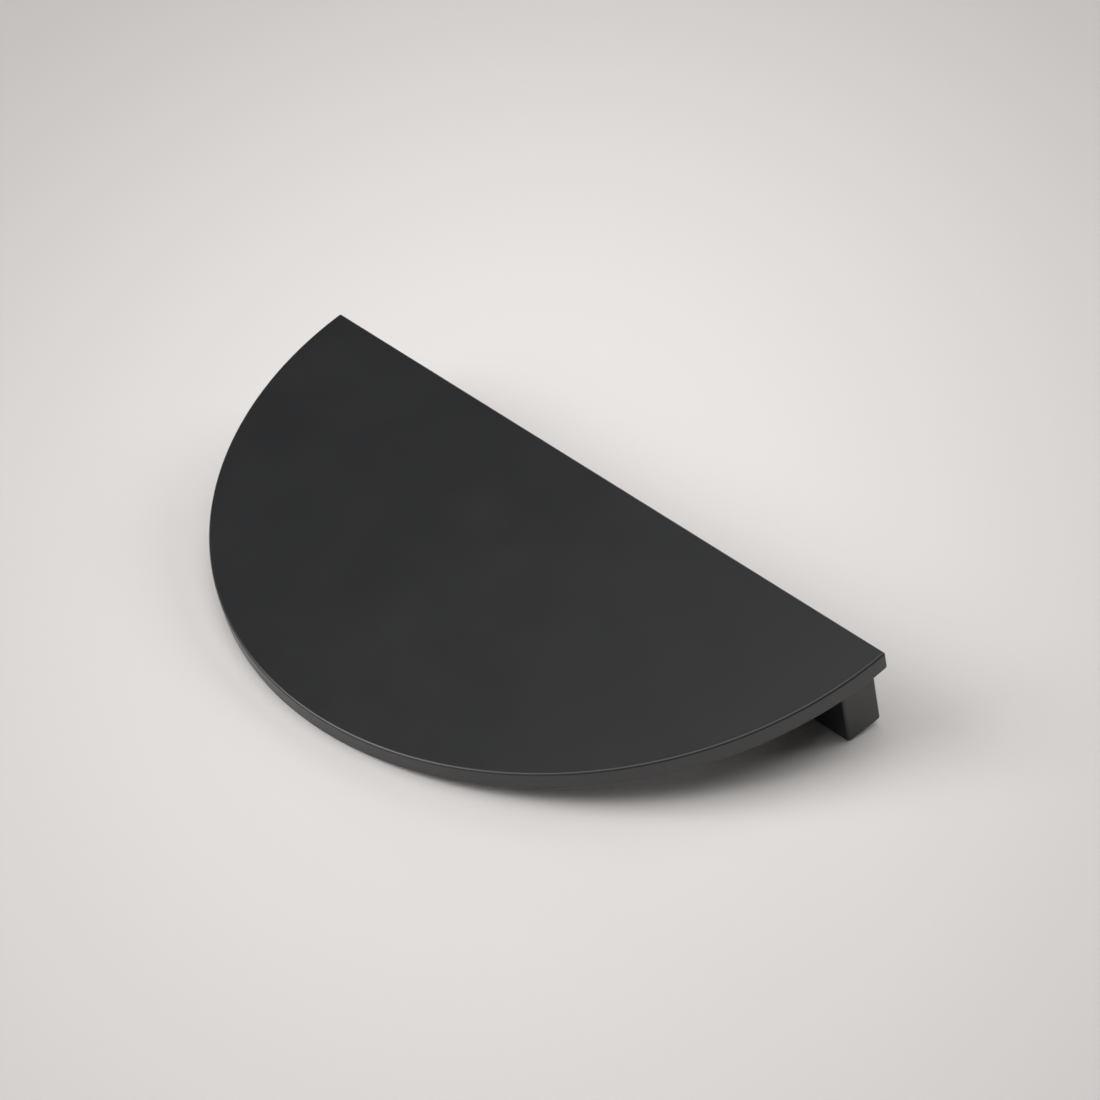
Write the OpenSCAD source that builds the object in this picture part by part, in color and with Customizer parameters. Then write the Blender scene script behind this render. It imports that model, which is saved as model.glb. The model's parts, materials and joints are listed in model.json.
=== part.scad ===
// Half-round cabinet pull, cast in one piece: a flat plate shaped as half a disc, carried on two short feet.
// X runs along the straight edge, +Y towards the curved edge, +Z away from the door or drawer front.
// The origin lies on the mounting plane, midway between the two screw holes.

/* [Plate] */
// Length of the straight edge, which is the disc's diameter
plate_w = 150; // [146:1:156]
// Thickness of the plate
plate_t = 4; // [3:0.1:5]
// Height of the plate's outer face above the mounting plane
projection = 19.5; // [17:0.5:26]
// Rounding along the plate's rims and at its two tips
rim_r = 0.5; // [0.3:0.05:0.8]

/* [Feet] */
// Distance between the two screw holes, each in the middle of its foot
hole_spacing = 128; // [124:1:132]
// Depth of a foot, square to the straight edge
foot_d = 8; // [7:0.1:9]
// Gap between the curved rim and the foot's outer face, which follows it
foot_inset = 3.3; // [1:0.1:4]
// Gap between the straight edge and the foot's back face
foot_back = 0.5; // [0.5:0.1:2]
// Rounding of the foot's upright edges
foot_corner_r = 0.6; // [0.6:0.1:1.5]
// Rounding round the foot's end face
foot_rim_r = 0.5; // [0.3:0.05:0.6]

/* [Screw holes] */
// Core diameter of the M4 thread
hole_d = 3.3; // [3.2:0.05:3.4]
// Depth of the round hole below the end face, without its pointed bottom
hole_depth = 11; // [8:0.5:13]
// Width of the countersink at the mouth
mouth_d = 4.3; // [4:0.1:5]
// Angle of the pointed bottom
point_angle = 118; // [90:1:140]

/* [Hidden] */
$fn = 180;
// The plate's disc is centred on the straight edge, this far behind the line of the holes
hole_setback = foot_back + foot_d / 2;
plate_r = plate_w / 2;
foot_h = projection - plate_t;
foot_reach = plate_r - foot_inset;
// The foot's two ends, measured along the line of the holes
foot_out = sqrt(pow(foot_reach, 2) - pow(hole_setback, 2));
foot_in = hole_spacing - foot_out;
mouth_h = (mouth_d - hole_d) / 2;
point_h = hole_d / 2 / tan(point_angle / 2);
// Corner rounds stand this far proud of the arc that they join, so that the two surfaces cross cleanly
proud = 0.001;
// Cutters and guides run this far past the faces that they shape
past = 2;

// Centre of a round of radius r inside an arc about the origin, at height y above the straight edge
function round_centre(reach, r, y) = [sqrt(pow(reach + proud - r, 2) - y * y), y];

// Rectangle from x = from to x = to whose lower corners are rounded
module rounded_foot_section(from, to) {
    r = foot_rim_r;
    translate([from + r, 0]) square([to - from - 2 * r, foot_h]);
    translate([from, r]) square([to - from, foot_h - r]);
    for (x = [from + r, to - r])
        translate([x, r]) circle(r);
}

// Rectangle from the axis out to reach whose two outer corners are rounded
module rim_section(reach) {
    r = rim_r;
    square([reach - r, plate_t]);
    translate([0, r]) square([reach, plate_t - 2 * r]);
    for (y = [r, plate_t - r])
        translate([reach - r, y]) circle(r);
}

// Plan that rounds the plate's two tips and leaves the curved rim to the disc
module tip_plan() {
    tip = round_centre(plate_r, rim_r, rim_r);
    meet = tip * plate_r / (plate_r - rim_r);
    out = plate_r + past;
    translate([-tip.x, 0]) square([2 * tip.x, tip.y]);
    polygon([[-out, meet.y], [-meet.x, meet.y], -[tip.x, -tip.y], tip, meet, [out, meet.y], [out, out], [-out, out]]);
    for (side = [-1, 1])
        translate([side * tip.x, tip.y]) circle(rim_r);
}

// Half-round plate, its under face at z = 0 and its straight edge along X
module plate() {
    intersection() {
        rotate_extrude() rim_section(plate_r);
        translate([0, plate_w, 0]) rotate([90, 0, -90])
            linear_extrude(plate_w + 2 * past, center = true) rim_section(plate_w);
        translate([0, 0, -past]) linear_extrude(plate_t + 2 * past) tip_plan();
    }
}

// Plan that rounds the foot's upright edges and leaves its curved outer face to the arc
module foot_plan() {
    r = foot_corner_r;
    back = foot_back + r;
    front = foot_back + foot_d - r;
    out_back = round_centre(foot_reach, r, back);
    out_front = round_centre(foot_reach, r, front);
    in_back = [foot_in + r, back];
    in_front = [foot_in + r, front];
    // Past the arc, the plan is bounded by the lines from the disc's centre through the outer rounds
    stretch = 1 + past / foot_reach;
    for (centre = [in_back, in_front, out_back, out_front])
        translate(centre) circle(r);
    polygon([in_back - [r, 0], in_back - [0, r], out_back - [0, r], out_back, out_back * stretch,
        out_front * stretch, out_front, out_front + [0, r], in_front + [0, r], in_front - [r, 0]]);
}

// Foot at +X, its end face at z = 0, drawn up to the plate's under face
module foot() {
    intersection() {
        linear_extrude(foot_h) foot_plan();
        rotate_extrude() rounded_foot_section(foot_in - past, foot_reach);
        rotate([90, 0, 90])
            linear_extrude(plate_r) rounded_foot_section(foot_back, foot_back + foot_d);
        rotate([90, 0, 0])
            linear_extrude(plate_w, center = true) rounded_foot_section(foot_in, foot_reach + past);
    }
}

// Blind hole with a countersunk mouth and a pointed bottom, opening at z = 0
module screw_hole() {
    cylinder(h = hole_depth, d = hole_d);
    translate([0, 0, hole_depth]) cylinder(h = point_h, d1 = hole_d, d2 = 0);
    translate([0, 0, -past]) cylinder(h = mouth_h + past, d1 = mouth_d + 2 * past, d2 = hole_d);
}

module pull() {
    color([0.05, 0.05, 0.05])
        difference() {
            translate([0, -hole_setback, 0]) {
                translate([0, 0, foot_h]) plate();
                foot();
                mirror([1, 0, 0]) foot();
            }
            for (side = [-1, 1])
                translate([side * hole_spacing / 2, 0, 0]) screw_hole();
        }
}

pull();
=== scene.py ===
"""Looks of a half-round cabinet pull: a black coated casting on a pale table, tipped onto its curved rim."""

import json
import math

import bmesh
import bpy
from mathutils import Matrix, Vector


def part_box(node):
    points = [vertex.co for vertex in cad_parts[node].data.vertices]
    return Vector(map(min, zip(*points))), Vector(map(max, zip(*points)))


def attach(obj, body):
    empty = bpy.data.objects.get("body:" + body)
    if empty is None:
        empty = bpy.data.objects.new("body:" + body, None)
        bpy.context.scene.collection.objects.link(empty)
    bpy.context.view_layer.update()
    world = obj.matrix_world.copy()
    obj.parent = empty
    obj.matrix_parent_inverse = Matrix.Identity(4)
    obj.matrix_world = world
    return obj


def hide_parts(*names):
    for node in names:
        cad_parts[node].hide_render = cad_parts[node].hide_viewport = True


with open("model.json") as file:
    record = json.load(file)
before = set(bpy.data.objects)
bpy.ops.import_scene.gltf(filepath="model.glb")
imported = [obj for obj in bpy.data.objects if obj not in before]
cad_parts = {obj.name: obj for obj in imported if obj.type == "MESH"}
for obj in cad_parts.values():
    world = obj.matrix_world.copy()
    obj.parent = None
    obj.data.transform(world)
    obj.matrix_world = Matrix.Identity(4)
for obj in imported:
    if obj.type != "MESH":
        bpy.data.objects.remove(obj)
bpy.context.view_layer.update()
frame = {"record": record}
low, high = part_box("pull")
mounts = {mount["name"]: mount for mount in frame["record"]["mounts"]}
MM = 0.001

# Camera, fitted to the outline in the photograph
PHOTO_SIZE_PX = 1100
AZIMUTH_DEG = 236.02
ELEVATION_DEG = 44.86
ROLL_DEG = 13.36
DISTANCE = 673.6 * MM
FOCAL_PX = 3554
DISC_CENTRE_PX = (595.3, 471.6)
SENSOR_WIDTH_MM = 36
CLIP_RATIO = 100

# Plate and feet: the frame gives their overall sizes
RADIUS = high.y - low.y
BACK = low.y
PLATE_T = 4 * MM
UNDER = high.z - PLATE_T
RIM_R = 0.5 * MM
FOOT_D = 8 * MM
FOOT_INSET = 3.3 * MM
FOOT_BACK = 0.5 * MM
FOOT_CORNER_R = 0.6 * MM
ROOT_OVERLAP = 2 * MM

# Screw holes: the record gives their places, core radius and depth
MAJOR_R = 2.02 * MM
PITCH = 0.7 * MM
CREST_SHARE = 0.25
THREAD_DEPTH = 9.6 * MM
RUN_OUT = 0.9 * MM
MOUTH_R = 2.15 * MM
POINT_ANGLE_DEG = 118
BELOW_MOUTH = 0.3 * MM

# Mesh: numbers of segments, and the distance within which points are joined
DISC_SEGMENTS = 480
FOOT_ARC_SEGMENTS = 24
CORNER_SEGMENTS = 12
RIM_SEGMENTS = 10
THREAD_SEGMENTS = 64
ROWS_PER_PITCH = 14
TABLE_SEGMENTS = 128
JOIN_DISTANCE = 0.0001 * MM

# Normals: edges sharper than this break the shading, and large faces count for most
SHARP_DEG = 32
FACE_AREA_WEIGHT = 100

# Coat: its sheen varies in patches, and its grain is bumps
COAT_COLOUR = (0.0115, 0.012, 0.0132)
COAT_IOR = 1.62
COAT_ROUGHNESS = 0.34
ROUGHNESS_SPREAD = 0.02
PATCH_SIZE = 14 * MM
PATCH_DETAIL = 3
NOISE_LOW, NOISE_HIGH = 0.3, 0.7
GRAIN_SIZE = 0.3 * MM
GRAIN_HEIGHT = 0.002 * MM
GRAIN_DETAIL = 2

# Table top: a pool of light painted into its colour, brightest under the pull and darker towards its edge,
# and a fade far out
# Painted light: the table's colour at the middle of the painted pool, and the darker colour it falls off to
TABLE_PAINTED_POOL_COLOUR = (0.834, 0.802, 0.779)
TABLE_PAINTED_FALLOFF_COLOUR = (0.507, 0.487, 0.472)
TABLE_ROUGHNESS = 0.9
TABLE_SPECULAR = 0.1
TABLE_RADIUS = 2
FADE_START = 0.35
POOL_CENTRE = (21 * MM, -36 * MM)
POOL_TURN_DEG = 42
POOL_LENGTH = 222 * MM
POOL_WIDTH = 365 * MM

# Studio: softboxes by name, azimuth and elevation over the table, width, height and brightness
SOFTBOX_DISTANCE = 4
SOFTBOXES = [
    ("overhead", 227, 90, 4.6, 4.6, 0.45),
    ("key_low", 147, 35, 2.9, 2.1, 0.54),
    ("key_high", 157, 45, 4.6, 2.9, 0.16),
    ("top_front", 197, 75, 3.7, 3.7, 0.20),
    ("fill_back", 347, 30, 2.9, 1.8, 0.28),
    ("strip_back", 17, 12, 3.7, 1.0, 0.21),
]

# World: pale round the horizon, dim overhead
BACKDROP_COLOUR = (0.5, 0.48, 0.466)
DIM_COLOUR = (0.02, 0.02, 0.02)
PALE_UP_TO_DEG = 10
DIM_FROM_DEG = 15

# Sockets of a Mix node that mixes colours, whose names other sockets share
MIX_FIRST, MIX_SECOND, MIX_RESULT = 6, 7, 2


def on_circle(centre, radius, start, end, segments):
    """Points along an arc, each with its outward normal, as (point, normal) pairs."""
    turns = [start + (end - start) * i / segments for i in range(segments + 1)]
    normals = [Vector((math.cos(a), math.sin(a))) for a in turns]
    return [(centre + normal * radius, normal) for normal in normals]


def corner_centre(reach, r, y):
    """Centre of a round of radius r inside the arc of radius reach, at height y above its diameter."""
    return Vector((math.sqrt((reach - r) ** 2 - y * y), y))


def mirrored(points):
    """The same run of outline on the other side of x = 0, in the order that goes on round."""
    return [(Vector((-p.x, p.y)), Vector((-n.x, n.y))) for p, n in reversed(points)]


def plate_outline():
    """Half disc with rounded tips, about the middle of its straight edge."""
    tip = corner_centre(RADIUS, RIM_R, RIM_R)
    meet = math.atan2(tip.y, tip.x)
    half = on_circle(tip, RIM_R, -math.pi / 2, meet, CORNER_SEGMENTS)
    half += on_circle(Vector((0, 0)), RADIUS, meet, math.pi / 2, DISC_SEGMENTS // 2)[1:]
    return half + mirrored(half)[1:]


def foot_outline(hole_x):
    """Foot at +X, whose outer face follows the arc, about the middle of the plate's straight edge."""
    reach = RADIUS - FOOT_INSET
    outer_end = math.sqrt(reach**2 - BACK**2)
    inner_end = 2 * hole_x - outer_end
    r = FOOT_CORNER_R
    back, front = FOOT_BACK + r, FOOT_BACK + FOOT_D - r
    out_back, out_front = corner_centre(reach, r, back), corner_centre(reach, r, front)
    start, end = math.atan2(out_back.y, out_back.x), math.atan2(out_front.y, out_front.x)
    quarter = math.pi / 2
    runs = [
        (out_back, r, -quarter, start, CORNER_SEGMENTS),
        (Vector((0, 0)), reach, start, end, FOOT_ARC_SEGMENTS),
        (out_front, r, end, quarter, CORNER_SEGMENTS),
        (Vector((inner_end + r, front)), r, quarter, 2 * quarter, CORNER_SEGMENTS),
        (Vector((inner_end + r, back)), r, 2 * quarter, 3 * quarter, CORNER_SEGMENTS),
    ]
    return [pair for run in runs for pair in on_circle(*run)]


def rounded_profile(bottom, top, round_top):
    """Insets and heights up a wall whose lower edge, and upper edge too if wanted, has the rim's rounding."""
    steps = [math.pi / 2 * i / RIM_SEGMENTS for i in range(RIM_SEGMENTS + 1)]
    lower = [(RIM_R * (1 - math.sin(a)), bottom + RIM_R * (1 - math.cos(a))) for a in steps]
    upper = [(RIM_R * (1 - math.cos(a)), top - RIM_R * (1 - math.sin(a))) for a in steps]
    return lower + (upper if round_top else [(0, top)])


def swept_solid(name, outline, profile):
    """Closed solid whose wall follows the outline, stepping in and up as the profile says."""
    work = bmesh.new()
    rings = [
        [work.verts.new((*(p - n * inset + Vector((0, BACK))), z)) for p, n in outline]
        for inset, z in profile
    ]
    for below, above in zip(rings, rings[1:]):
        for i, a in enumerate(below):
            j = (i + 1) % len(below)
            work.faces.new((a, below[j], above[j], above[i]))
    work.faces.new(reversed(rings[0]))
    work.faces.new(rings[-1])
    bmesh.ops.remove_doubles(work, verts=work.verts, dist=JOIN_DISTANCE)
    return finished(name, work)


def finished(name, work):
    """New scene object from a bmesh."""
    mesh = bpy.data.meshes.new(name)
    work.to_mesh(mesh)
    work.free()
    made = bpy.data.objects.new(name, mesh)
    bpy.context.scene.collection.objects.link(made)
    return made


def thread_reach(phase):
    """Share of a thread's depth that is cut at that share of a turn: 0 on the crest, 1 at the root."""
    from_root = abs(phase % 1 - 0.5) * 2
    flank = 1 - 2 * CREST_SHARE
    return min(1, max(0, (1 - CREST_SHARE - from_root) / flank))


def tapped_hole(name, mount):
    """Solid that cuts one screw hole: countersunk mouth, helical thread and drill point."""
    core_r = mount["dims"]["r_mm"] * MM
    depth = mount["pos_m"][2] + mount["dims"]["length_mm"] * MM / 2
    centre = Vector(mount["pos_m"]) * Vector((1, 1, 0))
    rows = math.ceil((depth + BELOW_MOUTH) / PITCH * ROWS_PER_PITCH)
    work = bmesh.new()
    rings = []
    for row in range(rows + 1):
        z = -BELOW_MOUTH + (depth + BELOW_MOUTH) * row / rows
        fade = min(1, max(0, (THREAD_DEPTH - z) / RUN_OUT))
        ring = []
        for i in range(THREAD_SEGMENTS):
            turn = i / THREAD_SEGMENTS
            cut = (MAJOR_R - core_r) * fade * thread_reach(z / PITCH - turn)
            r = max(core_r + cut, MOUTH_R - z)
            angle = turn * 2 * math.pi
            ring.append(work.verts.new(centre + Vector((r * math.cos(angle), r * math.sin(angle), z))))
        rings.append(ring)
    for below, above in zip(rings, rings[1:]):
        for i in range(THREAD_SEGMENTS):
            j = (i + 1) % THREAD_SEGMENTS
            work.faces.new((below[i], below[j], above[j], above[i]))
    work.faces.new(reversed(rings[0]))
    point = core_r / math.tan(math.radians(POINT_ANGLE_DEG / 2))
    tip = work.verts.new(centre + Vector((0, 0, depth + point)))
    for i in range(THREAD_SEGMENTS):
        work.faces.new((rings[-1][i], rings[-1][(i + 1) % THREAD_SEGMENTS], tip))
    return finished(name, work)


def combine(target, other, operation):
    """Applies a boolean to target and removes the other object."""
    step = target.modifiers.new(operation, "BOOLEAN")
    step.operation = operation
    step.solver = "EXACT"
    step.object = other
    evaluated = target.evaluated_get(bpy.context.evaluated_depsgraph_get())
    mesh = bpy.data.meshes.new_from_object(evaluated)
    target.modifiers.clear()
    target.data = mesh
    bpy.data.objects.remove(other)


def smooth_shading(piece):
    """Smooth normals that keep the flats flat and break only at true edges."""
    mesh = piece.data
    mesh.shade_smooth()
    mesh.set_sharp_from_angle(angle=math.radians(SHARP_DEG))
    weighting = piece.modifiers.new("weighted_normals", "WEIGHTED_NORMAL")
    weighting.keep_sharp = True
    weighting.weight = FACE_AREA_WEIGHT


def casting():
    """The whole pull as one mesh."""
    holes = [mounts["thread_left"], mounts["thread_right"]]
    hole_x = max(mount["pos_m"][0] for mount in holes)
    plate = swept_solid("cast_pull", plate_outline(), rounded_profile(UNDER, high.z, True))
    right = foot_outline(hole_x)
    for name, outline in (("right_foot", right), ("left_foot", mirrored(right))):
        foot = swept_solid(name, outline, rounded_profile(0, UNDER + ROOT_OVERLAP, False))
        combine(plate, foot, "UNION")
    for mount in holes:
        combine(plate, tapped_hole("tap", mount), "DIFFERENCE")
    smooth_shading(plate)
    return plate


def towards(azimuth_deg, elevation_deg):
    """Unit vector at an azimuth, which is 0 at -Y and 90 at +X, and an elevation."""
    azimuth, elevation = math.radians(azimuth_deg), math.radians(elevation_deg)
    return Vector((
        math.sin(azimuth) * math.cos(elevation),
        -math.cos(azimuth) * math.cos(elevation),
        math.sin(elevation),
    ))


def photo_camera():
    """Camera at the photograph's viewpoint, placed by where the straight edge's middle falls."""
    roll = math.radians(ROLL_DEG)
    back = towards(AZIMUTH_DEG, ELEVATION_DEG)
    level_right = Vector((0, 0, 1)).cross(back).normalized()
    level_down = level_right.cross(back)
    right = level_right * math.cos(roll) + level_down * math.sin(roll)
    down = level_down * math.cos(roll) - level_right * math.sin(roll)
    aside, below = ((px - PHOTO_SIZE_PX / 2) / FOCAL_PX * DISTANCE for px in DISC_CENTRE_PX)
    place = Vector((0, BACK, high.z)) - right * aside - down * below + back * DISTANCE
    data = bpy.data.cameras.new("photo_camera")
    data.sensor_width = SENSOR_WIDTH_MM
    data.lens = FOCAL_PX / PHOTO_SIZE_PX * SENSOR_WIDTH_MM
    data.clip_start, data.clip_end = DISTANCE / CLIP_RATIO, DISTANCE * CLIP_RATIO
    camera = bpy.data.objects.new("photo_camera", data)
    turn = Matrix((right, -down, back)).transposed().to_4x4()
    camera.matrix_world = Matrix.Translation(place) @ turn
    bpy.context.scene.collection.objects.link(camera)
    bpy.context.scene.camera = camera


def table_matrix():
    """Frame of the table that the pull lies on: +Z up, its origin under the middle of the pull."""
    rim = Vector((high.y - RIM_R, UNDER + RIM_R))
    foot = Vector((BACK + FOOT_BACK + FOOT_D - RIM_R, RIM_R))
    tilt = math.atan2(rim.y - foot.y, rim.x - foot.x)
    turn = Matrix.Rotation(tilt, 4, "X")
    middle = Vector((0, (BACK + high.y) / 2, 0))
    touch = turn.inverted() @ Vector((0, foot.x, foot.y))
    place = turn.inverted() @ middle
    place.z = touch.z - RIM_R
    return turn @ Matrix.Translation(place)


def new_material(name):
    """Material with an empty Principled shader, as (tree, shader, material)."""
    material = bpy.data.materials.new(name)
    material.use_nodes = True
    tree = material.node_tree
    return tree, tree.nodes["Principled BSDF"], material


def add_node(tree, kind, inputs=(), **settings):
    """New shader node; inputs gives sockets, by name or number, a constant or another node's output."""
    made = tree.nodes.new(kind)
    for name, value in settings.items():
        setattr(made, name, value)
    for key, value in dict(inputs).items():
        if isinstance(value, bpy.types.NodeSocket):
            tree.links.new(value, made.inputs[key])
        else:
            made.inputs[key].default_value = value
    return made


def smooth_share(tree, value, start, end):
    """Output that goes smoothly from 0 where the value is start to 1 where it is end."""
    limits = {"Value": value, "From Min": start, "From Max": end}
    return add_node(tree, "ShaderNodeMapRange", limits, interpolation_type="SMOOTHSTEP").outputs[0]


def mixed(tree, share, first, second):
    """Output that goes from the first colour to the second as share goes from 0 to 1."""
    colours = {"Factor": share, MIX_FIRST: (*first, 1), MIX_SECOND: (*second, 1)}
    return add_node(tree, "ShaderNodeMix", colours, data_type="RGBA").outputs[MIX_RESULT]


def coat():
    """Fine matte black powder coat."""
    tree, shader, material = new_material("matte_black_coat")
    shader.inputs["Base Color"].default_value = (*COAT_COLOUR, 1)
    shader.inputs["IOR"].default_value = COAT_IOR
    place = add_node(tree, "ShaderNodeTexCoord").outputs["Object"]
    patches = add_node(tree, "ShaderNodeTexNoise", {
        "Vector": place, "Scale": 1 / PATCH_SIZE, "Detail": PATCH_DETAIL,
    })
    sheen = add_node(tree, "ShaderNodeMapRange", {
        "Value": patches.outputs[0], "From Min": NOISE_LOW, "From Max": NOISE_HIGH,
        "To Min": COAT_ROUGHNESS - ROUGHNESS_SPREAD, "To Max": COAT_ROUGHNESS + ROUGHNESS_SPREAD,
    })
    tree.links.new(sheen.outputs[0], shader.inputs["Roughness"])
    grain = add_node(tree, "ShaderNodeTexNoise", {
        "Vector": place, "Scale": 1 / GRAIN_SIZE, "Detail": GRAIN_DETAIL,
    })
    bump = add_node(tree, "ShaderNodeBump", {
        "Height": grain.outputs[0], "Strength": 1, "Distance": GRAIN_HEIGHT,
    })
    tree.links.new(bump.outputs[0], shader.inputs["Normal"])
    return material


def floor(table):
    """Round pale table top with a painted pool of light in its colour, brightest under the pull, which fades
    into the backdrop far out.
    """
    tree, shader, material = new_material("pale_table")
    shader.inputs["Roughness"].default_value = TABLE_ROUGHNESS
    shader.inputs["Specular IOR Level"].default_value = TABLE_SPECULAR
    place = add_node(tree, "ShaderNodeTexCoord").outputs["Object"]
    pool = add_node(tree, "ShaderNodeMapping", {
        "Vector": place, "Location": (*POOL_CENTRE, 0), "Rotation": (0, 0, math.radians(POOL_TURN_DEG)),
        "Scale": (POOL_LENGTH, POOL_WIDTH, 1),
    }, vector_type="TEXTURE")
    out = add_node(tree, "ShaderNodeVectorMath", {0: pool.outputs[0]}, operation="LENGTH").outputs["Value"]
    # Painted pool of light: the table's colour goes from the bright middle to the darker painted fall-off
    tint = mixed(tree, smooth_share(tree, out, 0, 1), TABLE_PAINTED_POOL_COLOUR, TABLE_PAINTED_FALLOFF_COLOUR)
    tree.links.new(tint, shader.inputs["Base Color"])
    far = add_node(tree, "ShaderNodeVectorMath", {0: place}, operation="LENGTH").outputs["Value"]
    tree.links.new(smooth_share(tree, far, TABLE_RADIUS, FADE_START), shader.inputs["Alpha"])
    work = bmesh.new()
    bmesh.ops.create_circle(work, cap_ends=True, radius=TABLE_RADIUS, segments=TABLE_SEGMENTS)
    made = finished("table_top", work)
    made.data.materials.append(material)
    made.matrix_world = table


def softbox(table, name, azimuth_deg, elevation_deg, width, height, brightness):
    """Area lamp that faces the pull; a white surface turned to it alone has about that brightness."""
    way = towards(azimuth_deg, elevation_deg)
    data = bpy.data.lights.new(name, "AREA")
    data.shape = "RECTANGLE"
    data.size, data.size_y = width, height
    data.energy = brightness * (math.pi * SOFTBOX_DISTANCE) ** 2
    lamp = bpy.data.objects.new(name, data)
    turn = way.to_track_quat("Z", "Y").to_matrix().to_4x4()
    lamp.matrix_world = table @ Matrix.Translation(way * SOFTBOX_DISTANCE) @ turn
    bpy.context.scene.collection.objects.link(lamp)


def backdrop(table):
    """World that is pale up to a little above the table's horizon and dim overhead."""
    made = bpy.data.worlds.new("studio")
    made.use_nodes = True
    tree = made.node_tree
    way = add_node(tree, "ShaderNodeTexCoord").outputs["Generated"]
    up = table.to_3x3().col[2].normalized()
    height = add_node(tree, "ShaderNodeVectorMath", {0: way, 1: up}, operation="DOT_PRODUCT").outputs["Value"]
    pale_end, dim_start = (math.sin(math.radians(a)) for a in (PALE_UP_TO_DEG, DIM_FROM_DEG))
    tint = mixed(tree, smooth_share(tree, height, pale_end, dim_start), BACKDROP_COLOUR, DIM_COLOUR)
    tree.links.new(tint, tree.nodes["Background"].inputs["Color"])
    bpy.context.scene.world = made


bpy.context.scene.view_settings.view_transform = "Standard"
photo_camera()
table = table_matrix()
pull = casting()
pull.data.materials.append(coat())
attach(pull, "root")
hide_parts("pull")
floor(table)
for lamp in SOFTBOXES:
    softbox(table, *lamp)
backdrop(table)
